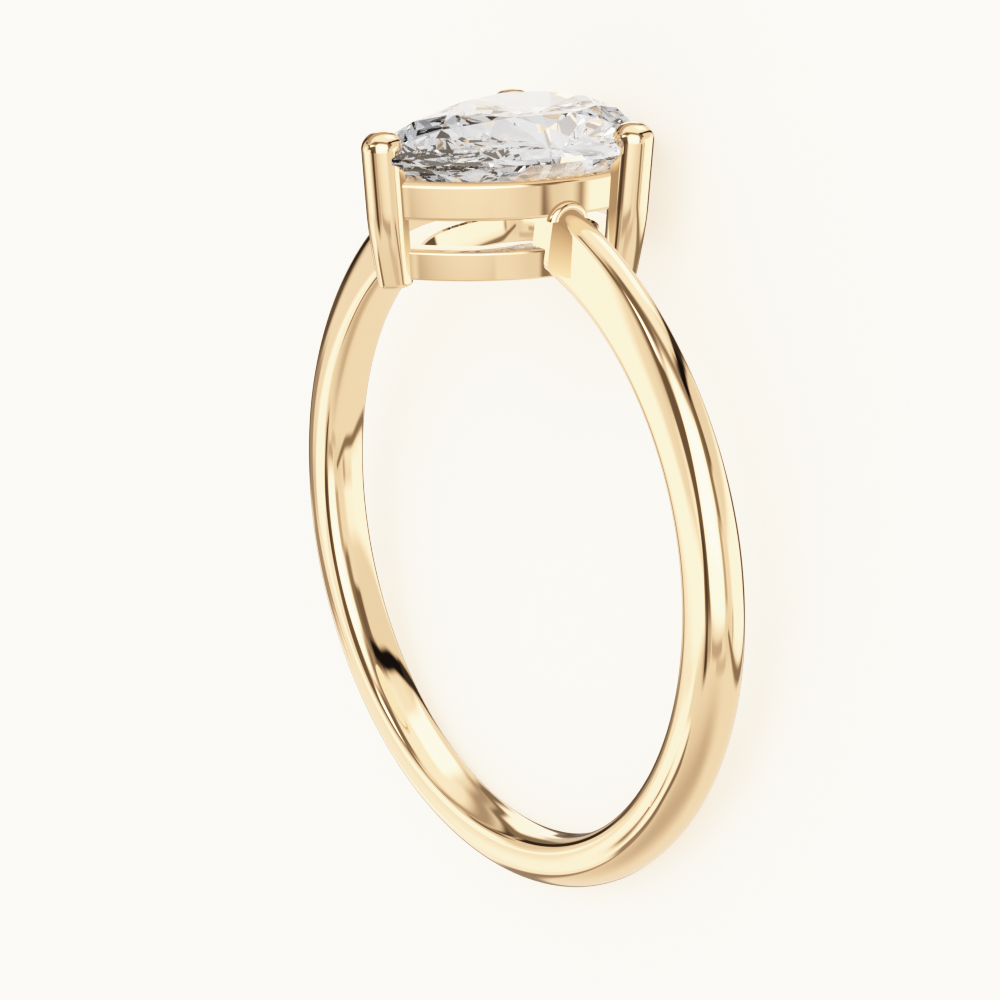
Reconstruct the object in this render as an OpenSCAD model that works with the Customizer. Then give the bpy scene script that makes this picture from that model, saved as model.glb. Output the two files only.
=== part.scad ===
// Solitaire engagement ring: a pear cut stone in a three prong basket on a slim band.
// Millimetres. The ring is drawn upright, with the finger's axis along Y and the stone at the top,
// and is then laid on its side, on the band's lower edge and the stone's round end.
// The origin is the middle of the finger hole.

/* [Band] */
// Radius of the finger hole at its narrowest
bore_r = 8.1; // [7.9:0.05:8.3]
// Width of the straight stretch in the middle of the finger hole
bore_land = 0.5; // [0.3:0.05:0.6]
// Radius of the rounded edges of the finger hole
bore_round = 0.6; // [0.5:0.05:0.9]
// Radius from the finger's axis to the centre of the domed outside
dome_ring_r = 8.87; // [8.8:0.01:8.95]
// Radius of the domed outside in cross-section
dome_r = 0.68; // [0.62:0.01:0.75]
// Half of the band's width, level with the finger's axis
band_half_w = 0.64; // [0.58:0.01:0.7]
// How much narrower each half gets for every millimetre towards the stone
band_taper = 0.012; // [0:0.001:0.014]

/* [Shoulders] */
// Radius of the rounded crest where a shoulder reaches the basket
crest_r = 0.43; // [0.4:0.01:0.48]
// Height of the crest's axis where it meets the upper rail
crest_z = 9.06; // [9:0.01:9.12]
// Slope of the crest there, in degrees below level
crest_slope = 22; // [18:1:28]
// Radius of the circle that the crest follows along the shoulders
crest_ring_r = 9.03; // [9:0.01:9.1]
// How far above the finger's axis that circle is centred
crest_rise = 0.35; // [0.25:0.05:0.45]
// Radius of the arched lip around the crest's end
lip_r = 0.61; // [0.56:0.01:0.65]
// How far the lip stands out from the upper rail at its middle
lip_proud = 0.09; // [0.05:0.01:0.15]
// Half of a shoulder's width where the lean of its sides is measured
lean_half_w = 0.4; // [0.36:0.01:0.45]
// Distance of that place from the axis that the sides lean round
lean_ring_r = 10.73; // [10.6:0.01:10.9]
// How far below the finger's axis the sides lean round
lean_drop = 1.8; // [1.6:0.1:2]
// How much each half gets narrower for every millimetre outwards
lean = 0.19; // [0.15:0.01:0.22]

/* [Basket] */
// Distance from the finger's axis plane to the centre of the pear's round end
eye_y = 0.8; // [0.6:0.05:1]
// Wall thickness of both rails
rail_wall = 0.8; // [0.7:0.05:0.9]
// Half width of the upper rail
upper_half_w = 2.5; // [2.45:0.01:2.6]
// Where the upper rail comes to its point
upper_tip_y = -4.05; // [-4.2:0.05:-3.95]
// Underside of the upper rail
upper_z = 9.26; // [9.2:0.01:9.35]
// Height of the upper rail
upper_h = 0.98; // [0.9:0.01:1.05]
// Half width of the lower rail
lower_half_w = 2.35; // [2.25:0.05:2.45]
// Where the lower rail comes to its point
lower_tip_y = -3.75; // [-3.85:0.05:-3.65]
// Underside of the lower rail
lower_z = 7.66; // [7.6:0.01:7.7]
// Height of the lower rail
lower_h = 0.77; // [0.7:0.01:0.82]

/* [Prongs] */
// Radius of a prong beside the stone
prong_r = 0.53; // [0.48:0.01:0.56]
// Radius of a prong at its foot
foot_r = 0.44; // [0.4:0.01:0.48]
// Height of the prongs' tops
prong_top_z = 11.45; // [11.3:0.05:11.6]
// Height at which a prong bends in towards its foot
prong_bend_z = 8.9; // [8.7:0.05:9.1]
// Height of the prongs' feet
prong_foot_z = 7.48; // [7.45:0.01:7.55]
// Radius of the rounding on a prong's top
prong_round = 0.36; // [0.3:0.01:0.4]
// Distance of the point's prong from the eye, at its top
tip_prong_out = 4.84; // [4.8:0.01:4.95]
// Distance of each round end prong from the eye, at its top
end_prong_out = 2.95; // [2.9:0.01:3]
// Angle of each round end prong past the widest place, in degrees
end_prong_angle = 22; // [18:1:26]
// How far a prong leans in between its top and its bend
prong_lean = 0.22; // [0.18:0.01:0.26]
// How far a prong leans in between its bend and its foot
foot_lean = 0.2; // [0.15:0.01:0.25]

/* [Stone] */
// Half width of the outline that the facets run out to
stone_half_w = 2.93; // [2.88:0.01:2.98]
// Where that outline comes to its point
stone_tip_y = -4.385; // [-4.48:0.005:-4.28]
// How far the girdle's wall lies inside that outline
girdle_trim = 0.03; // [0.02:0.005:0.04]
// Lower edge of the girdle, at the outline
girdle_z = 10.76; // [10.72:0.01:10.85]
// Thickness of the girdle, at the outline
girdle_h = 0.15; // [0.14:0.01:0.22]
// Height of the crown
crown_h = 0.8; // [0.7:0.01:0.85]
// Depth of the pavilion
pavilion_h = 2.05; // [1.95:0.01:2.15]
// Width of the table against the stone's width
table_share = 0.54; // [0.5:0.01:0.6]
// How far the star facets reach down the crown, from the girdle's side
star_share = 0.74; // [0.65:0.01:0.8]
// How far above the culet the lower halves end, against the pavilion's depth
lower_half_share = 0.22; // [0.18:0.01:0.3]
// Where the culet lies along the stone
culet_y = 0.75; // [0.5:0.05:0.9]
// How much larger the room for the stone is than the stone, as a share
stone_gap = 0.014; // [0.01:0.001:0.02]

/* [Hidden] */
$fn = 96;
section_fn = 64;
prong_fn = 48;
reach = 12;

// The ring leans on two places: the band's domed edge below and the girdle at the round end.
rest_y = eye_y + stone_half_w - girdle_trim;
rest_drop = girdle_z + dome_ring_r;
rest_tilt = acos(dome_r / norm([rest_y, rest_drop])) - atan2(rest_drop, rest_y);

// Facets are placed by the direction that the outline faces, in degrees, starting at the point.
main_at = [-90, -28, 0, 42, 90, 138, 180, 208];
half_at = [-46, -14, 21, 66, 114, 159, 194, 226];
mains = len(main_at);
table_z = girdle_z + girdle_h + crown_h;
crown_z = girdle_z + girdle_h;
culet_z = girdle_z - pavilion_h;
run_on = 0.8;
stone_drop = eye_y - stone_tip_y;

// Radius of the two long sides of a pear with this half width and this length below its eye
function flank_r(half_w, drop) = (drop ^ 2 + half_w ^ 2) / (2 * half_w);

// Half width of the upper rail at the middle of the shoulders
rail_flank_r = flank_r(upper_half_w, eye_y - upper_tip_y);
rail_x = sqrt(rail_flank_r ^ 2 - eye_y ^ 2) - rail_flank_r + upper_half_w;

// Direction in plan
function way(a) = [cos(a), sin(a)];

// Point of the stone's outline that faces the direction a
function outline_at(a) =
    a > 90 ? [-outline_at(180 - a)[0], outline_at(180 - a)[1]]
    : a >= 0 ? [0, eye_y] + stone_half_w * way(a)
    : a > -acos(1 - stone_half_w / flank_r(stone_half_w, stone_drop))
        ? [stone_half_w - flank_r(stone_half_w, stone_drop), eye_y] + flank_r(stone_half_w, stone_drop) * way(a)
    : [0, stone_tip_y];

// Distance of the outline's tangent that faces the direction a, from the culet's axis
function span_at(a) = (outline_at(a) - [0, culet_y]) * way(a);

// Where the facets facing a and b meet, each at its own distance from the culet's axis
function meet(a, da, b, db) =
    [0, culet_y] + [da * sin(b) - db * sin(a), db * cos(a) - da * cos(b)] / sin(b - a);

// A plan point lifted to a height
function lift(p, z) = [p[0], p[1], z];

// Plan part of a vector
function plan(p) = [p[0], p[1]];

// Direction square to the plane through three points
function square_to(p, q, r) = cross(q - p, r - p) / norm(cross(q - p, r - p));

// Lays the upright ring on its side
module laid() {
    rotate([rest_tilt - 90, 0, 0]) children();
}

// Pear outline with its point towards -Y, every edge moved inwards by inset
module pear(half_w, tip_y, inset = 0) {
    drop = eye_y - tip_y;
    side_r = flank_r(half_w, drop);
    translate([0, eye_y]) {
        circle(r = half_w - inset);
        intersection() {
            translate([half_w - side_r, 0]) circle(r = side_r - inset);
            translate([side_r - half_w, 0]) circle(r = side_r - inset);
            translate([-half_w, -2 * drop]) square([2 * half_w, 2 * drop]);
        }
    }
}

// Turns a section drawn as radius and width about the finger's axis
module around_finger() {
    rotate([90, 0, 0]) rotate_extrude() children();
}

// Band with straight sides and a domed outside, before the finger hole is cut
module band_blank() {
    around_finger() {
        translate([dome_ring_r, 0]) circle(r = dome_r, $fn = section_fn);
        translate([bore_r - bore_round, -dome_r]) square([dome_ring_r - bore_r + bore_round, 2 * dome_r]);
    }
}

// Slab that narrows towards the stone and trims the band's sides
module taper_slab() {
    low = band_half_w + band_taper * reach;
    high = band_half_w - band_taper * reach;
    rotate([90, 0, 90]) linear_extrude(height = 2 * reach, center = true)
        polygon([[-low, -reach], [low, -reach], [high, reach], [-high, reach]]);
}

// Ring whose sides lean in towards the outside, set low so that only the shoulders meet its sides
module leaning_sides() {
    low = lean_half_w + lean * lean_ring_r;
    high = lean_half_w - lean * (reach - lean_ring_r);
    translate([0, 0, -lean_drop]) around_finger()
        polygon([[0, -low], [reach, -high], [reach, high], [0, low]]);
}

// Finger hole: straight in the middle, opening out with a rounded edge on both sides
module finger_hole() {
    rotate([90, 0, 0]) cylinder(r = bore_r, h = 2 * reach, center = true);
    around_finger() {
        for (side = [-1, 1]) {
            difference() {
                translate([bore_r - bore_round, side * (bore_land + bore_round) / 2 - bore_round / 2])
                    square([2 * bore_round, bore_round]);
                translate([bore_r + bore_round, side * bore_land / 2])
                    circle(r = bore_round, $fn = section_fn);
            }
        }
    }
}

// Rounded crest along the outside, which stands out from the dome on the shoulders only
module crest_ring() {
    translate([0, 0, crest_rise]) around_finger()
        translate([crest_ring_r, 0]) circle(r = crest_r, $fn = section_fn);
}

// Rounded end of the crest, where a shoulder runs into the upper rail
module crest(side) {
    mirror([side < 0 ? 1 : 0, 0, 0])
        translate([upper_half_w, 0, crest_z]) rotate([0, 90 + crest_slope, 0])
            translate([0, 0, -rail_wall]) cylinder(r = crest_r, h = 3 * rail_wall, $fn = prong_fn);
}

// Arched lip on the upper rail around a crest's end
module lip(side) {
    mirror([side < 0 ? 1 : 0, 0, 0])
        translate([rail_x + lip_proud, 0, crest_z]) rotate([0, -90, 0])
            cylinder(r = lip_r, h = rail_wall, $fn = prong_fn);
}

// Band and shoulders, open under the stone
module shank() {
    difference() {
        union() {
            intersection() {
                union() {
                    band_blank();
                    crest_ring();
                }
                taper_slab();
                leaning_sides();
            }
            for (side = [-1, 1]) {
                crest(side);
                lip(side);
            }
        }
        finger_hole();
        translate([0, 0, lower_z]) linear_extrude(height = reach)
            pear(upper_half_w, upper_tip_y, rail_wall);
    }
}

// Pear shaped rail of the basket
module rail(half_w, tip_y, z, h) {
    translate([0, 0, z]) linear_extrude(height = h) difference() {
        pear(half_w, tip_y);
        pear(half_w, tip_y, rail_wall);
    }
}

// Round bar that narrows from a to b, both given as distance out and height
module bar(a, ra, b, rb) {
    run = b - a;
    translate([a[0], 0, a[1]]) rotate([0, atan2(run[0], run[1]), 0])
        cylinder(r1 = ra, r2 = rb, h = norm(run), $fn = prong_fn);
}

// Prong with a rounded top, bent in towards its foot
module prong(angle, out) {
    top = [out, prong_top_z];
    bend = [out - prong_lean, prong_bend_z];
    foot = [out - prong_lean - foot_lean, prong_foot_z];
    run = top - bend;
    translate([0, eye_y, 0]) rotate([0, 0, angle]) {
        translate([bend[0], 0, bend[1]]) rotate([0, atan2(run[0], run[1]), 0])
            rotate_extrude($fn = prong_fn) intersection() {
                union() {
                    square([prong_r, norm(run) - prong_round]);
                    square([prong_r - prong_round, norm(run)]);
                    translate([prong_r - prong_round, norm(run) - prong_round])
                        circle(r = prong_round, $fn = section_fn);
                }
                square([prong_r, norm(run)]);
            }
        translate([bend[0], 0, bend[1]]) sphere(r = prong_r, $fn = prong_fn);
        bar(foot, foot_r, bend, prong_r);
    }
}

// One side of the cut, crown or pavilion, with its facets run on past the outline and closed by walls.
// The main facets end at inner, a share of the outline, and are cut across by the others at level,
// a share of the rise. A crown has a flat table and star facets, a pavilion comes to one point.
module cut_side(edge_z, rise, inner, level) {
    axis = [0, culet_y];
    share = 1 - (1 - inner) * level;
    far_z = edge_z - sign(rise) * reach;
    turn = [0:mains - 1];
    top = [for (a = main_at) lift(axis + inner * (outline_at(a) - axis), edge_z + rise)];
    cross_point = [for (k = turn)
        let (a = main_at[k], b = main_at[(k + 1) % mains])
        lift(meet(a, share * span_at(a), b, share * span_at(b)), edge_z + level * rise)];
    main = [for (a = main_at) lift(outline_at(a), edge_z)];
    half = [for (a = half_at) lift(outline_at(a), edge_z)];
    main_out = [for (k = turn)
        let (j = (k + mains - 1) % mains,
            before = square_to(cross_point[j], half[j], main[k]),
            after = square_to(cross_point[k], main[k], half[k]),
            ridge = cross(before, after))
        main[k] + ridge * run_on / (plan(ridge) * way(main_at[k]))];
    half_out = [for (k = turn)
        let (ridge = half[k] - cross_point[k])
        half[k] + ridge * run_on / norm(plan(ridge))];
    points = concat(top, cross_point, main, main_out, half_out,
        [for (p = main_out) lift(p, far_z)], [for (p = half_out) lift(p, far_z)]);
    facets = [for (k = turn)
        let (n = (k + 1) % mains, j = (k + mains - 1) % mains,
            t = inner > 0 ? k : 0, c = mains + k, m = 2 * mains + k, mo = 3 * mains + k,
            ho = 4 * mains + k, mf = 5 * mains + k, hf = 6 * mains + k,
            mn = 2 * mains + n, mon = 3 * mains + n, mfn = 5 * mains + n)
        each [[t, mains + j, m, c], [c, m, mo, ho], [c, ho, mon, mn], [mo, mf, hf, ho], [ho, hf, mfn, mon]]];
    stars = [for (k = turn) [k, mains + k, (k + 1) % mains]];
    table = [for (k = turn) k];
    back = [for (k = [mains - 1:-1:0]) each [6 * mains + k, 5 * mains + k]];
    faces = concat(facets, [back], inner > 0 ? concat(stars, [table]) : []);
    polyhedron(points, [for (f = faces) rise > 0 ? [for (i = [len(f) - 1:-1:0]) f[i]] : f]);
}

// Pear brilliant cut: an upright girdle trimmed by the crown's facets and the pavilion's facets
module brilliant() {
    intersection() {
        translate([0, 0, culet_z - 1]) linear_extrude(height = table_z - culet_z + 2)
            pear(stone_half_w, stone_tip_y, girdle_trim);
        cut_side(crown_z, crown_h, table_share, star_share);
        cut_side(girdle_z, -pavilion_h, 0, 1 - lower_half_share);
    }
}

// Room for the stone in the metal, a little larger than the stone all round
module seat() {
    middle = [0, culet_y, girdle_z + girdle_h / 2];
    translate(middle) scale(1 + stone_gap) translate(-middle) brilliant();
}

// All the metal, cast in one: band, shoulders, both rails and three prongs notched for the stone
module gold_mounting() {
    color("#E8C88C") laid() difference() {
        union() {
            shank();
            rail(lower_half_w, lower_tip_y, lower_z, lower_h);
            rail(upper_half_w, upper_tip_y, upper_z, upper_h);
            prong(-90, tip_prong_out);
            prong(end_prong_angle, end_prong_out);
            prong(180 - end_prong_angle, end_prong_out);
        }
        seat();
    }
}

// The cut stone
module pear_diamond() {
    color("#F2F4F6") laid() brilliant();
}

gold_mounting();
pear_diamond();
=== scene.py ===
from math import acos, asin, atan2, cos, hypot, pi, radians, sin, sqrt

import bmesh
import bpy
import numpy as np
from mathutils import Matrix, Vector


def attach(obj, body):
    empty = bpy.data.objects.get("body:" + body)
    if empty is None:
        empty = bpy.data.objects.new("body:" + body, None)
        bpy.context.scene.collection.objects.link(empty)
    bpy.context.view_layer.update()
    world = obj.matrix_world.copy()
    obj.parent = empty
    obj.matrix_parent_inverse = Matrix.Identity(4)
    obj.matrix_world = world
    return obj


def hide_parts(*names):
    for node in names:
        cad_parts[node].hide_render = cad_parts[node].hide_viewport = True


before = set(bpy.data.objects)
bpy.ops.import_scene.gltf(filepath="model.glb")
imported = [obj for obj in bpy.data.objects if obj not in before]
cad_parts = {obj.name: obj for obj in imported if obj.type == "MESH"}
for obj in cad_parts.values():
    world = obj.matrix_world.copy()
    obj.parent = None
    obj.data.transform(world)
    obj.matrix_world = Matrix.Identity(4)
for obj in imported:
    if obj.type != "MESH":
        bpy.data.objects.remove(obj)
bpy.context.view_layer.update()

# The ring is drawn upright in millimetres, with the finger's axis along Y and the stone on top,
# and laid on its side in metres as the last step, by the same tilt as the CAD part.
mm = 0.001
rest = {"y": 3.7, "girdleZ": 10.76, "creaseR": 8.87, "domeR": 0.68}
drop = rest["girdleZ"] + rest["creaseR"]
tilt = acos(rest["domeR"] / hypot(rest["y"], drop)) - atan2(drop, rest["y"])
turn = Matrix(((1, 0, 0), (0, sin(tilt), cos(tilt)), (0, -cos(tilt), sin(tilt))))
layDown = (turn * mm).to_4x4()
floorZ = (turn @ Vector((0, rest["y"], rest["girdleZ"]))).z * mm


def aim(azimuth, elevation):  # back, right and up for a view from that side of the upright ring
    a, e = radians(azimuth), radians(elevation)
    back = Vector((sin(a) * cos(e), -cos(a) * cos(e), sin(e)))
    right = Vector((cos(a), sin(a), 0))
    return back, right, back.cross(right)


# Camera: solved from the ellipses of the band's edges in the photo
camera = {"azimuth": 55.2, "elevation": 17.38, "distance": 100, "side": 0.31, "rise": 1.02, "lens": 134.784}
back, right, up = aim(camera["azimuth"], camera["elevation"])
place = turn @ (back * camera["distance"] - right * camera["side"] + up * camera["rise"]) * mm
bpy.ops.object.camera_add()
cameraObject = bpy.context.object
cameraObject.name = "camera"
facing = Matrix([turn @ v for v in (right, up, back)]).transposed().to_4x4()
cameraObject.matrix_world = Matrix.Translation(place) @ facing
cameraObject.data.lens = camera["lens"]
cameraObject.data.sensor_width = 36
cameraObject.data.clip_start = 0.005
bpy.context.scene.camera = cameraObject
print("camera")


def linear(hexColour):  # sRGB hex to linear RGBA
    parts = [int(hexColour[i : i + 2], 16) / 255 for i in (1, 3, 5)]
    return [c / 12.92 if c <= 0.04045 else ((c + 0.055) / 1.055) ** 2.4 for c in parts] + [1]


def addNode(tree, kind, inputs=None, **settings):
    node = tree.nodes.new(kind)
    for key, value in settings.items():
        setattr(node, key, value)
    for key, value in (inputs or {}).items():
        if isinstance(value, bpy.types.NodeSocket):
            tree.links.new(value, node.inputs[key])
        else:
            node.inputs[key].default_value = value
    return node


def newMaterial(name):
    material = bpy.data.materials.new(name)
    material.use_nodes = True
    tree = material.node_tree
    tree.nodes.clear()
    return material, tree, tree.nodes.new("ShaderNodeOutputMaterial")


# 14 carat yellow gold, cast and mirror polished: a pale warm metal whose reflections stay sharp
goldMaterial, tree, output = newMaterial("polished_yellow_gold")
shader = addNode(tree, "ShaderNodeBsdfPrincipled", {
    "Base Color": linear("#FAE1C3"), "Metallic": 1, "Roughness": 0.03,
})
tree.links.new(shader.outputs["BSDF"], output.inputs["Surface"])

# Cut diamond: clear, and bends light so strongly that the back facets shine through the front
diamondMaterial, tree, output = newMaterial("cut_diamond")
shader = addNode(tree, "ShaderNodeBsdfPrincipled", {
    "Base Color": linear("#EEF0F3"), "Roughness": 0, "IOR": 2.417, "Transmission Weight": 1,
})
tree.links.new(shader.outputs["BSDF"], output.inputs["Surface"])
print("materials")


def startEdit():
    bpy.ops.object.mode_set(mode="EDIT")
    bpy.ops.mesh.select_mode(type="VERT")


# In edit mode, selects the verts, edges or faces whose places pass the test
def selectWhere(mesh, kind, test):
    bpy.ops.mesh.select_all(action="DESELECT")
    bm = bmesh.from_edit_mesh(mesh)
    for item in getattr(bm, kind):
        places = [item.co] if kind == "verts" else [v.co for v in item.verts]
        if all(test(p) for p in places):
            item.select_set(True)
    if kind == "verts":
        bm.select_flush(True)
    bmesh.update_edit_mesh(mesh)


# A closed solid extruded from ring to ring, each a list of as many points
def loft(name, rings):
    rings = [np.array(ring) for ring in rings]
    bpy.ops.object.select_all(action="DESELECT")
    bpy.ops.mesh.primitive_circle_add(vertices=len(rings[0]), radius=1, fill_type="NGON")
    piece = bpy.context.object
    piece.name = name
    for vert, point in zip(piece.data.vertices, rings[0]):
        vert.co = point
    startEdit()
    bpy.ops.mesh.select_all(action="SELECT")
    for before, after in zip(rings, rings[1:]):
        bpy.ops.mesh.extrude_region_move()
        bm = bmesh.from_edit_mesh(piece.data)
        for vert in [v for v in bm.verts if v.select]:
            vert.co = after[np.argmin(((before - np.array(vert.co)) ** 2).sum(1))]
        bmesh.update_edit_mesh(piece.data)
    bpy.ops.mesh.select_all(action="SELECT")
    bpy.ops.mesh.normals_make_consistent(inside=False)
    bpy.ops.object.mode_set(mode="OBJECT")
    return piece


# Lays the piece down, smooths it, gives it its material, keeps it out of glossy rays, hangs it on the root
# body and hides the CAD part it stands in for
def finishPiece(piece, node, material, smoothAngle=35):
    piece.data.transform(layDown)
    bpy.ops.object.select_all(action="DESELECT")
    piece.select_set(True)
    bpy.context.view_layer.objects.active = piece
    bpy.ops.object.shade_smooth_by_angle(angle=radians(smoothAngle))
    piece.data.materials.clear()
    piece.data.materials.append(material)
    piece.visible_glossy = False
    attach(piece, "root")
    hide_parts(node)


# Band: a straight sided section with a domed outside. Towards the stone the sides lean in and the
# dome narrows to a crest that climbs to the basket. One row for each angle from the bottom.
band = {
    # angle, inner half width, crease half width, crease radius, apex radius, bulge
    "rows": (
        (0, 0.720, 0.678, 8.84, 9.485, 0.012),
        (40, 0.706, 0.680, 8.87, 9.535, 0.02),
        (64, 0.684, 0.682, 8.93, 9.597, 0.036),
        (80, 0.667, 0.668, 9.06, 9.615, 0.044),
        (99, 0.645, 0.604, 9.24, 9.605, 0.045),
        (111, 0.631, 0.545, 9.31, 9.610, 0.045),
        (122, 0.620, 0.476, 9.37, 9.645, 0.045),
        (135, 0.608, 0.405, 9.43, 9.690, 0.04),
        (147, 0.600, 0.360, 9.51, 9.735, 0.03),
        (158, 0.585, 0.350, 9.57, 9.790, 0.02),
        (172, 0.560, 0.370, 9.62, 9.860, 0.01),
    ),
    "boreR": 8.1,
    "boreLand": 0.12,
    "boreRound": 1.1,
    "innerFillet": (0.2, 0.26),
    "creaseFillet": 0.09,
    "endX": 1.66,
    "steps": 172,
}


# The rows' values at a given first column, along a smooth curve
def smoothRow(rows, at):
    keys = [row[0] for row in rows]
    i = max(0, min(len(keys) - 2, sum(k <= at for k in keys) - 1))
    a, b = rows[i], rows[i + 1]
    before = rows[i - 1] if i else [2 * a[0] - b[0]] + list(b[1:])
    after = rows[i + 2] if i + 2 < len(rows) else b
    h = b[0] - a[0]
    t = (at - a[0]) / h
    values = []
    for c in range(1, len(a)):
        slopeA = (b[c] - before[c]) / (b[0] - before[0])
        slopeB = (after[c] - a[c]) / (after[0] - a[0])
        values.append(
            (2 * t**3 - 3 * t**2 + 1) * a[c] + (t**3 - 2 * t**2 + t) * h * slopeA
            + (3 * t**2 - 2 * t**3) * b[c] + (t**3 - t**2) * h * slopeB
        )
    return values


# Points of a rounded corner at b, between the lines to a and c
def corner(a, b, c, reachA, reachC, count):
    a, b, c = np.array(a), np.array(b), np.array(c)
    p = b + (a - b) * reachA / np.linalg.norm(a - b)
    q = b + (c - b) * reachC / np.linalg.norm(c - b)
    return [tuple((1 - t) ** 2 * p + 2 * t * (1 - t) * b + t * t * q) for t in np.linspace(0, 1, count)]


# Half of the section, as radius and width, from the middle of the bore to the apex
def bandSection(angle):
    innerHalf, creaseHalf, creaseR, apexR, bulge = smoothRow(band["rows"], abs(angle))
    boreR, land, roundR = (band[k] for k in ("boreR", "boreLand", "boreRound"))
    onBore, onSide = band["innerFillet"]

    def boreAt(y):
        return boreR if y <= land else boreR + roundR - sqrt(roundR**2 - (y - land) ** 2)

    rise = apexR - creaseR
    domeR = (rise**2 + creaseHalf**2) / (2 * rise)
    start = asin(min(1, creaseHalf / domeR))
    if rise > domeR:
        start = pi - start
    half = [(boreAt(y), y) for y in np.linspace(0, innerHalf - onBore - 0.01, 10)]
    edge, crease = np.array((boreAt(innerHalf), innerHalf)), np.array((creaseR, creaseHalf))
    side = crease - edge
    outwards = np.array((-side[1], side[0])) / np.linalg.norm(side) * bulge

    def sideAt(share):
        return edge + side * share + outwards * 4 * share * (1 - share)

    shares = np.linspace(onSide / np.linalg.norm(side) + 0.02, 0.92, 9)
    fromBore = (boreAt(innerHalf - onBore), innerHalf - onBore)
    half += corner(fromBore, edge, sideAt(shares[0]), onBore, onSide, 9)
    half += [tuple(sideAt(share)) for share in shares[1:-1]]
    fillet = band["creaseFillet"]
    step = fillet / domeR
    first = (apexR - domeR + domeR * cos(start - step), domeR * sin(start - step))
    half += corner(sideAt(shares[-1]), crease, first, fillet, fillet, 8)[:-1]
    half += [(apexR - domeR + domeR * cos(a), domeR * sin(a)) for a in np.linspace(start - step, 0, 15)]
    return half


def bandRing(angle):
    half = bandSection(angle)
    section = half + [(r, -y) for r, y in half[-2:0:-1]]
    a = radians(angle)
    return [(r * sin(a), y, -r * cos(a)) for r, y in section]


reach = band["rows"][-1][0]
angles = np.linspace(-reach, reach, 2 * band["steps"] + 1)
shank = loft("band_and_shoulders", [bandRing(angle) for angle in angles])
startEdit()
for side in (1, -1):
    selectWhere(shank.data, "verts", lambda p: p.z > 0 and p.x * side > 0)
    bpy.ops.mesh.bisect(
        plane_co=(side * band["endX"], 0, 0), plane_no=(side, 0, 0), use_fill=True, clear_inner=True
    )
bpy.ops.object.mode_set(mode="OBJECT")
finishPiece(shank, "gold_mounting", goldMaterial, smoothAngle=40)
print("band", len(shank.data.vertices))

# Basket: two pear shaped rails
eyeY = 0.8
rails = {
    "upper_rail": {
        "halfW": 2.5, "tipY": -4.05, "z": 9.26, "h": 0.98,
        "wall": 0.8, "top": 0.11, "bottom": 0.1, "seat": 0.5,
    },
    "lower_rail": {
        "halfW": 2.35, "tipY": -3.75, "z": 7.66, "h": 0.77,
        "wall": 0.8, "top": 0.07, "bottom": 0.05, "seat": 0.05,
    },
}
railFlare = 0.016  # how much wider the outline gets for each millimetre up
railInnerRound = 0.05
outlineSpacing = 0.12


# Points round a pear outline: a flank, the round end and the other flank
def pearOutline(halfW, tipY):
    drop = eyeY - tipY
    flankR = (drop**2 + halfW**2) / (2 * halfW)
    centre = flankR - halfW
    tipAngle = acos(centre / flankR)
    flank = max(8, round(flankR * tipAngle / outlineSpacing))
    end = max(16, 2 * round(halfW * pi / 2 / outlineSpacing))
    points = [
        (flankR * cos(a) - centre, eyeY - flankR * sin(a))
        for a in np.linspace(tipAngle, 0, flank, endpoint=False)
    ]
    points += [
        (halfW * cos(a), eyeY + halfW * sin(a)) for a in np.linspace(0, pi, end, endpoint=False)
    ]
    points += [
        (centre - flankR * cos(a), eyeY - flankR * sin(a))
        for a in np.linspace(0, tipAngle, flank, endpoint=False)
    ]
    return points


def makeRail(name, halfW, tipY, z, h, wall, top, bottom, seat):
    outline = pearOutline(halfW, tipY)
    bpy.ops.object.select_all(action="DESELECT")
    bpy.ops.mesh.primitive_circle_add(vertices=len(outline), radius=halfW, fill_type="NGON")
    rail = bpy.context.object
    rail.name = name
    for vert, (x, y) in zip(rail.data.vertices, outline):
        vert.co = (x, y, z)
    startEdit()
    bpy.ops.mesh.select_all(action="SELECT")
    bpy.ops.mesh.extrude_region_move(TRANSFORM_OT_translate={"value": (0, 0, h)})
    flare = 1 + railFlare * h
    bpy.ops.transform.resize(value=(flare, flare, 1), center_override=(0, eyeY, z + h))
    bpy.ops.mesh.select_mode(type="FACE")
    for level in (z + h, z):
        selectWhere(rail.data, "faces", lambda p: abs(p.z - level) < 1e-4)
        bpy.ops.mesh.inset(thickness=wall)
        bpy.ops.mesh.delete(type="FACE")
    bpy.ops.mesh.select_mode(type="EDGE")
    bpy.ops.mesh.select_all(action="DESELECT")
    bpy.ops.mesh.select_non_manifold()
    bpy.ops.mesh.bridge_edge_loops()
    bpy.ops.mesh.select_all(action="SELECT")
    bpy.ops.mesh.normals_make_consistent(inside=False)

    def outer(p):
        return min(hypot(p.x - x, p.y - y) for x, y in outline) < wall / 3

    for level, isOuter, width, segments in (
        (z + h, True, top, 3), (z, True, bottom, 3), (z, False, railInnerRound, 2), (z + h, False, seat, 1)
    ):
        selectWhere(rail.data, "edges", lambda p: abs(p.z - level) < 1e-4 and outer(p) == isOuter)
        bpy.ops.mesh.bevel(offset=width, segments=segments, affect="EDGES")
    for level in (z + h - top, z + bottom):
        selectWhere(rail.data, "edges", lambda p: abs(p.z - level) < 1e-3 and outer(p))
        bpy.ops.mesh.mark_sharp()
    bpy.ops.object.mode_set(mode="OBJECT")
    return rail


railPieces = {name: makeRail(name, **sizes) for name, sizes in rails.items()}

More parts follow.
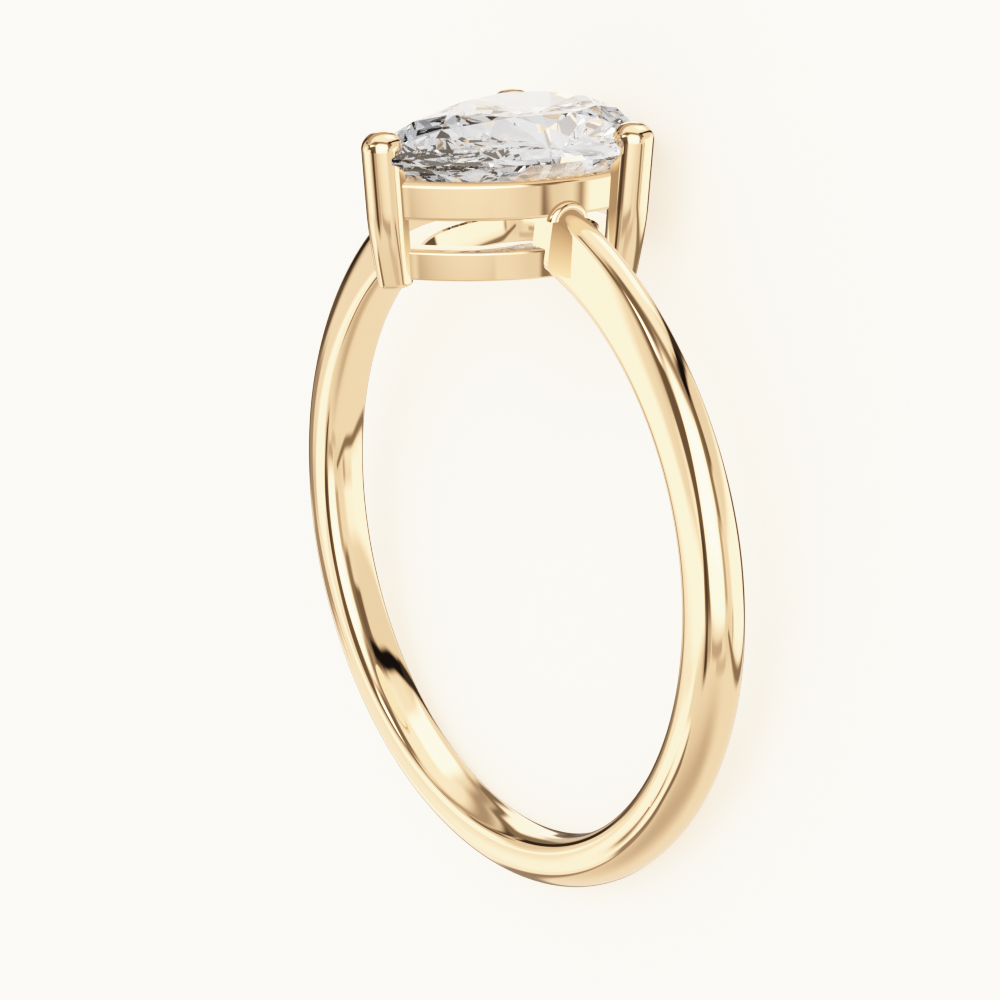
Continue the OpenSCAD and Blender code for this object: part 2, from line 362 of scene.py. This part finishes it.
# Prongs: round bars with a flattened dome on top that lean in towards their feet
prongs = {
    "tip_prong": {"angle": -90, "out": 4.84},
    "end_prong_right": {"angle": 22, "out": 2.95},
    "end_prong_left": {"angle": 158, "out": 2.95},
}
prongShape = {
    "topZ": 11.52, "bendZ": 8.9, "footZ": 7.48, "r": 0.53, "footR": 0.44,
    "lean": 0.22, "footLean": 0.2, "dome": 0.42, "footRound": 0.08, "blend": 0.5, "sides": 64,
}


def prongRings(angle, out):
    s = prongShape
    upper = s["lean"] / (s["topZ"] - s["bendZ"])
    lower = s["footLean"] / (s["bendZ"] - s["footZ"])

    def axisAt(z):
        low = max(0, min(2 * s["blend"], s["bendZ"] + s["blend"] - z))
        bent = low**2 / (4 * s["blend"]) + max(0, s["bendZ"] - s["blend"] - z)
        return out - upper * (s["topZ"] - z) - (lower - upper) * bent

    def radiusAt(z):
        t = max(0, min(1, (s["bendZ"] + s["blend"] - z) / (s["bendZ"] + s["blend"] - s["footZ"])))
        return s["r"] - (s["r"] - s["footR"]) * t**1.5

    stations = [
        (s["footZ"] + s["footRound"] * (1 - sin(a)), -s["footRound"] * (1 - cos(a)))
        for a in np.linspace(pi / 2, 0, 5)
    ]
    stations += [(z, 0) for z in np.linspace(s["footZ"] + 0.12, s["topZ"] - s["dome"] - 0.02, 26)]
    stations += [
        (s["topZ"] - s["dome"] * (1 - sin(a)), -s["r"] * (1 - cos(a) ** 0.9))
        for a in np.linspace(0, pi / 2 * 0.97, 16)
    ]
    a = radians(angle)
    rings = []
    for z, grow in stations:
        middle, r = axisAt(z), radiusAt(z) + grow
        rings.append([
            (
                cos(a) * (middle + r * cos(t)) - sin(a) * r * sin(t),
                eyeY + sin(a) * (middle + r * cos(t)) + cos(a) * r * sin(t),
                z - upper * r * cos(t),
            )
            for t in np.linspace(0, 2 * pi, s["sides"], endpoint=False)
        ])
    return rings


prongPieces = {name: loft(name, prongRings(**p)) for name, p in prongs.items()}

# Room for the stone: the stone's own solid, a little larger, is taken out of the prongs and the rail
stoneRoom = {"middle": (0, 0.75, 10.835), "growth": 1.014}
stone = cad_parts["pear_diamond"]
bpy.ops.object.select_all(action="DESELECT")
cutter = bpy.data.objects.new("stone_room", stone.data.copy())
bpy.context.collection.objects.link(cutter)
cutter.data.transform(layDown.inverted())
middle = Vector(stoneRoom["middle"])
grow = Matrix.Scale(stoneRoom["growth"], 4)
cutter.data.transform(Matrix.Translation(middle) @ grow @ Matrix.Translation(-middle))
bpy.context.view_layer.objects.active = cutter
cutter.select_set(True)
startEdit()
bpy.ops.mesh.select_all(action="SELECT")
bpy.ops.mesh.remove_doubles(threshold=0.002)
bpy.ops.mesh.normals_make_consistent(inside=False)
bpy.ops.object.mode_set(mode="OBJECT")


def cutStoneRoom(piece):
    bpy.ops.object.select_all(action="DESELECT")
    piece.select_set(True)
    bpy.context.view_layer.objects.active = piece
    bpy.ops.object.modifier_add(type="BOOLEAN")
    modifier = piece.modifiers[-1]
    modifier.operation, modifier.object, modifier.solver = "DIFFERENCE", cutter, "EXACT"
    bpy.ops.object.modifier_apply(modifier=modifier.name)


for name, prong in prongPieces.items():
    cutStoneRoom(prong)
    finishPiece(prong, "gold_mounting", goldMaterial)
for name, rail in railPieces.items():
    if name == "upper_rail":
        cutStoneRoom(rail)
    finishPiece(rail, "gold_mounting", goldMaterial)
    rail.visible_transmission = False
bpy.data.objects.remove(cutter)
print("rails and prongs")

# Lips: a rounded arch on the upper rail over the end of each crest
lip = {"x": 2.45, "z": 9.06, "ringR": 0.47, "thickR": 0.15, "stretch": 1.1, "footZ": 9.2}
for name, side in (("lip_right", 1), ("lip_left", -1)):
    bpy.ops.object.select_all(action="DESELECT")
    bpy.ops.mesh.primitive_torus_add(
        major_segments=96, minor_segments=32, major_radius=lip["ringR"], minor_radius=lip["thickR"]
    )
    piece = bpy.context.object
    piece.name = name
    place = Matrix.Translation((side * lip["x"], 0, lip["z"])) @ Matrix.Rotation(pi / 2, 4, "Y")
    piece.data.transform(place @ Matrix.Diagonal((1, 1, lip["stretch"], 1)))
    startEdit()
    bpy.ops.mesh.select_all(action="SELECT")
    bpy.ops.mesh.bisect(plane_co=(0, 0, lip["footZ"]), plane_no=(0, 0, 1), use_fill=True, clear_inner=True)
    bpy.ops.object.mode_set(mode="OBJECT")
    finishPiece(piece, "gold_mounting", goldMaterial)
print("lips")

stone.data.materials.clear()
stone.data.materials.append(diamondMaterial)

# Floor: plain white acrylic that glows a little, as on a light table, so that its shadows stay faint.
# Through the stone it is dimmer and neutral, so that the facets stand out from it.
floorLook = {
    "sheet": "#AFA79D", "glow": "#FFF3E4", "glowStrength": 0.7,
    "dim": "#F5F6F8", "dimStrength": 0.86,
}
bpy.ops.object.select_all(action="DESELECT")
bpy.ops.mesh.primitive_plane_add(size=2, location=(0, 0, floorZ))
floor = bpy.context.object
floor.name = "floor"
floorMaterial, tree, output = newMaterial("glowing_white_acrylic")
sheet = addNode(tree, "ShaderNodeBsdfDiffuse", {"Color": linear(floorLook["sheet"])})
glow = addNode(tree, "ShaderNodeEmission", {
    "Color": linear(floorLook["glow"]), "Strength": floorLook["glowStrength"],
})
both = addNode(tree, "ShaderNodeAddShader", {0: sheet.outputs[0], 1: glow.outputs[0]})
throughStone = addNode(tree, "ShaderNodeLightPath").outputs["Is Transmission Ray"]
dimmed = addNode(tree, "ShaderNodeEmission", {
    "Color": linear(floorLook["dim"]), "Strength": floorLook["dimStrength"],
})
surface = addNode(tree, "ShaderNodeMixShader", {0: throughStone, 1: both.outputs[0], 2: dimmed.outputs[0]})
tree.links.new(surface.outputs[0], output.inputs["Surface"])
floor.data.materials.append(floorMaterial)
floor.visible_glossy = False

# Reflection card: a glowing pear shaped cup, darker from the middle up to the girdle, that the gold
# round the basket mirrors in place of the basket. It shows nowhere else, and not from inside.
cardShape = {
    "tip": 1.75,
    # half width, length from the round end's middle to the point, z
    "rings": ((2.6, 2.45, 7.7), (2.45, 2.45, 10.36), (2.95, 3.05, 10.76), (2.95, 3.05, 10.95)),
    "colour": "#FFEFDC",
    "low": (7.7, 9.2, 1.25, 0.5),  # from this z to that one, and the light at each
    "high": (10.1, 10.5, 0.3, 1),
}
outline = pearOutline(1, eyeY - cardShape["tip"])
card = loft("basket_card", [
    [(x * half, eyeY + (y - eyeY) * length, z) for x, y in outline]
    for half, length, z in cardShape["rings"]
])
startEdit()
bpy.ops.mesh.select_mode(type="FACE")
selectWhere(card.data, "faces", lambda p: p.z > cardShape["rings"][-1][2] - 0.01)
bpy.ops.mesh.delete(type="FACE")
bpy.ops.object.mode_set(mode="OBJECT")
card.data.transform(layDown)
cardMaterial, tree, output = newMaterial("glowing_card")
height = addNode(tree, "ShaderNodeVectorMath", {
    0: addNode(tree, "ShaderNodeTexCoord").outputs["Object"], 1: turn @ Vector((0, 0, 1)),
}, operation="DOT_PRODUCT").outputs["Value"]
levels = [
    addNode(tree, "ShaderNodeMapRange", {
        "Value": height, "From Min": lowZ * mm, "From Max": highZ * mm, "To Min": below, "To Max": above,
    }).outputs["Result"]
    for lowZ, highZ, below, above in (cardShape["low"], cardShape["high"])
]
level = addNode(tree, "ShaderNodeMath", {0: levels[0], 1: levels[1]}, operation="MAXIMUM").outputs[0]
glow = addNode(tree, "ShaderNodeEmission", {"Color": linear(cardShape["colour"]), "Strength": level})
behind = addNode(tree, "ShaderNodeNewGeometry").outputs["Backfacing"]
oneSided = addNode(tree, "ShaderNodeMixShader", {
    0: behind, 1: glow.outputs[0], 2: addNode(tree, "ShaderNodeBsdfTransparent").outputs[0],
})
tree.links.new(oneSided.outputs[0], output.inputs["Surface"])
card.data.materials.append(cardMaterial)
for sight in ("camera", "diffuse", "transmission", "shadow"):
    setattr(card, "visible_" + sight, False)

# Studio: what polished metal and the stone mirror is a room with softboxes and darker gaps between
# them, each placed by its direction from the upright ring. Azimuth 0 faces the stone's point, 90 the
# right limb, 180 the round end. Each row is laid over those before it. The floor gets an even light.
studio = {
    "colour": "#FFF5EA",
    "stoneColour": "#F8F9FC",
    "floorColour": "#FFFDFA",
    "floorLight": 1.4,
    "roomLight": 0.98,
    "stoneGain": 0.55,  # through the stone the room has less contrast
    "stoneLift": 0.2,
    # azimuth, elevation, roll, half width, half height, soft edge (all in degrees) and light
    "panels": (
        (15, -62, 0, 38, 22, 40, 0.62),
        (0, 90, 0, 32, 32, 24, 1.22),
        (-90, 47, 0, 45, 7, 12, 0.47),
        (-86, 33, 0, 52, 4, 6, 0.16),
        (45, 62, 0, 46, 6, 8, 0.32),
        (107, 50, 0, 18, 8, 8, 0.22),
        (0, 5, 0, 26, 24, 14, 0.22),
        (-11, 36.5, 42, 24, 3.5, 5, 0.25),
        (-9, 27.5, 38, 9, 5, 4, 2.5),
        (55, 19, 0, 32, 35, 8, 1.7),
        (56, 20, 0, 20, 18, 16, 2.1),
        (42, 60, 0, 34, 9, 12, 0.52),
        (40, 62, 0, 30, 2.5, 5, 0.3),
        (5, 50, 0, 12, 10, 12, 0.25),
        (100, 30, 0, 7, 18, 8, 0.33),
        (152, 12, 0, 30, 33, 8, 0.92),
        (155, -8, 0, 37, 16, 12, 1.5),
        (92, 2, 0, 5, 12, 6, 0.55),
        (97, -19, 0, 12, 7, 12, 0.88),
        (119, -16, 0, 2.5, 5, 8, 0.33),
        (6, -21.5, 0, 17, 3, 6, 0.55),
        (71, -27.5, 0, 18, 2.5, 4, 0.7),
        (150, -27.5, 0, 50, 2.2, 3, 0.33),
        (112, 38, 0, 8, 13, 5, 0.25),
        (146, 45, -22, 26, 4, 4, 0.03),
        (190, 20, -42, 28, 4, 4, 0.1),
        (-166, 55, 0, 13, 17, 8, 1.8),
        (-62, 15, 0, 20, 16, 8, 0.82),
        (-118, 5, 0, 24, 28, 6, 0.3),
        (-123, 13, 0, 10, 12, 6, 1.45),
        (-131, 2, 0, 14, 4, 4, 1.5),
        (-84, 8, 0, 10, 20, 6, 0.08),
        (-122, -15, 0, 46, 8, 5, 0.2),
        (-83, -33, 0, 40, 16, 4, 0.38),
        (-75, -31, 0, 23, 12, 3, 1.2),
        (-36, -16, 0, 24, 4.5, 5, 1.5),
        (-75, -33, 0, 22, 2.5, 4, 1.4),
        (-60, -22, 0, 14, 4.5, 5, 1.12),
        (-77, -17, 0, 7, 6, 3, 0.42),
        (-43, -25, 0, 9, 4.5, 3, 1.45),
        (-33, -31, 0, 8, 3, 3, 0.3),
        (-56, 25, 0, 9, 5, 4, 0.22),
        (-108, 0, 0, 10, 9, 6, 0.7),
        (-18, -6, 0, 10, 5, 6, 1.25),
        (50, -22.5, 0, 20, 2.2, 3, 0.58),
        (-44, -5, 0, 8, 13, 5, 1.5),
        (3, -14, 0, 6, 12, 5, 0.15),
    ),
}
world = bpy.data.worlds.new("studio")
bpy.context.scene.world = world
world.use_nodes = True
tree = world.node_tree
tree.nodes.clear()
output = tree.nodes.new("ShaderNodeOutputWorld")
direction = addNode(tree, "ShaderNodeTexCoord").outputs["Generated"]
total = studio["roomLight"]
for azimuth, elevation, roll, halfWidth, halfHeight, softEdge, light in studio["panels"]:
    toPanel, side, above = aim(azimuth, elevation)
    tilted = Matrix.Rotation(radians(roll), 3, toPanel)
    along, across, high = (
        addNode(tree, "ShaderNodeVectorMath", {
            0: direction, 1: turn @ axis,
        }, operation="DOT_PRODUCT").outputs["Value"]
        for axis in (toPanel, tilted @ side, tilted @ above)
    )
    mask = addNode(tree, "ShaderNodeMath", {0: along, 1: 0.0}, operation="GREATER_THAN").outputs[0]
    for part, half in ((across, halfWidth), (high, halfHeight)):
        angle = addNode(tree, "ShaderNodeMath", {0: part, 1: along}, operation="ARCTAN2").outputs[0]
        angle = addNode(tree, "ShaderNodeMath", {0: angle}, operation="ABSOLUTE").outputs[0]
        inside = addNode(tree, "ShaderNodeMapRange", {
            "Value": angle,
            "From Min": radians(half + softEdge / 2),
            "From Max": radians(half - softEdge / 2),
        }, interpolation_type="SMOOTHSTEP").outputs["Result"]
        mask = addNode(tree, "ShaderNodeMath", {0: mask, 1: inside}, operation="MULTIPLY").outputs[0]
    total = addNode(tree, "ShaderNodeMix", {"Factor": mask, "A": total, "B": float(light)}).outputs["Result"]
ray = addNode(tree, "ShaderNodeLightPath").outputs
inStone = ray["Is Transmission Ray"]
gain = addNode(tree, "ShaderNodeMath", {
    0: inStone, 1: studio["stoneGain"] - 1, 2: 1.0,
}, operation="MULTIPLY_ADD").outputs[0]
lift = addNode(tree, "ShaderNodeMath", {0: inStone, 1: studio["stoneLift"]}, operation="MULTIPLY").outputs[0]
total = addNode(tree, "ShaderNodeMath", {0: total, 1: gain, 2: lift}, operation="MULTIPLY_ADD").outputs[0]
tone = addNode(tree, "ShaderNodeMix", {
    "Factor": inStone, 6: linear(studio["colour"]), 7: linear(studio["stoneColour"]),
}, data_type="RGBA").outputs[2]
mirrored = addNode(tree, "ShaderNodeBackground", {"Color": tone, "Strength": total})
even = addNode(tree, "ShaderNodeBackground", {
    "Color": linear(studio["floorColour"]), "Strength": studio["floorLight"],
})
isGlossy = ray["Is Glossy Ray"]
inGloss = addNode(tree, "ShaderNodeMath", {0: isGlossy, 1: inStone}, operation="MAXIMUM").outputs[0]
surround = addNode(tree, "ShaderNodeMixShader", {0: inGloss, 1: even.outputs[0], 2: mirrored.outputs[0]})
tree.links.new(surround.outputs["Shader"], output.inputs["Surface"])

# Overhead softbox that lights the floor, left out of the reflections
lamp = {"azimuth": 20, "elevation": 35, "distance": 0.3, "size": 0.3, "energy": 0.3}
bpy.ops.object.light_add(type="AREA")
softbox = bpy.context.object
softbox.name = "softbox"
softbox.data.shape = "DISK"
softbox.data.size = lamp["size"]
softbox.data.energy = lamp["energy"]
away, across, above = aim(lamp["azimuth"], lamp["elevation"])
facing = Matrix([turn @ v for v in (across, above, away)]).transposed().to_4x4()
softbox.matrix_world = Matrix.Translation(turn @ (away * lamp["distance"])) @ facing
softbox.visible_glossy = False
print("studio")

# Film response: a soft toe and shoulder, so that highlights pale towards white
scene = bpy.context.scene
scene.cycles.use_denoising = True
scene.cycles.max_bounces = scene.cycles.transmission_bounces = 20
scene.cycles.glossy_bounces = 10
view = scene.view_settings
view.view_transform = "Standard"
view.use_curve_mapping = True
response = (
    (0, 0), (0.1, 0.038), (0.2, 0.136), (0.35, 0.31), (0.5, 0.495), (0.65, 0.657), (0.8, 0.782),
    (1, 0.895), (1.25, 0.952), (1.6, 0.963), (2.2, 0.985), (4, 1),
)
view.curve_mapping.clip_max_x = response[-1][0]
points = view.curve_mapping.curves[3].points
points[0].location, points[-1].location = response[0], response[-1]
for light, shown in response[1:-1]:
    points.new(light, shown)
view.curve_mapping.update()
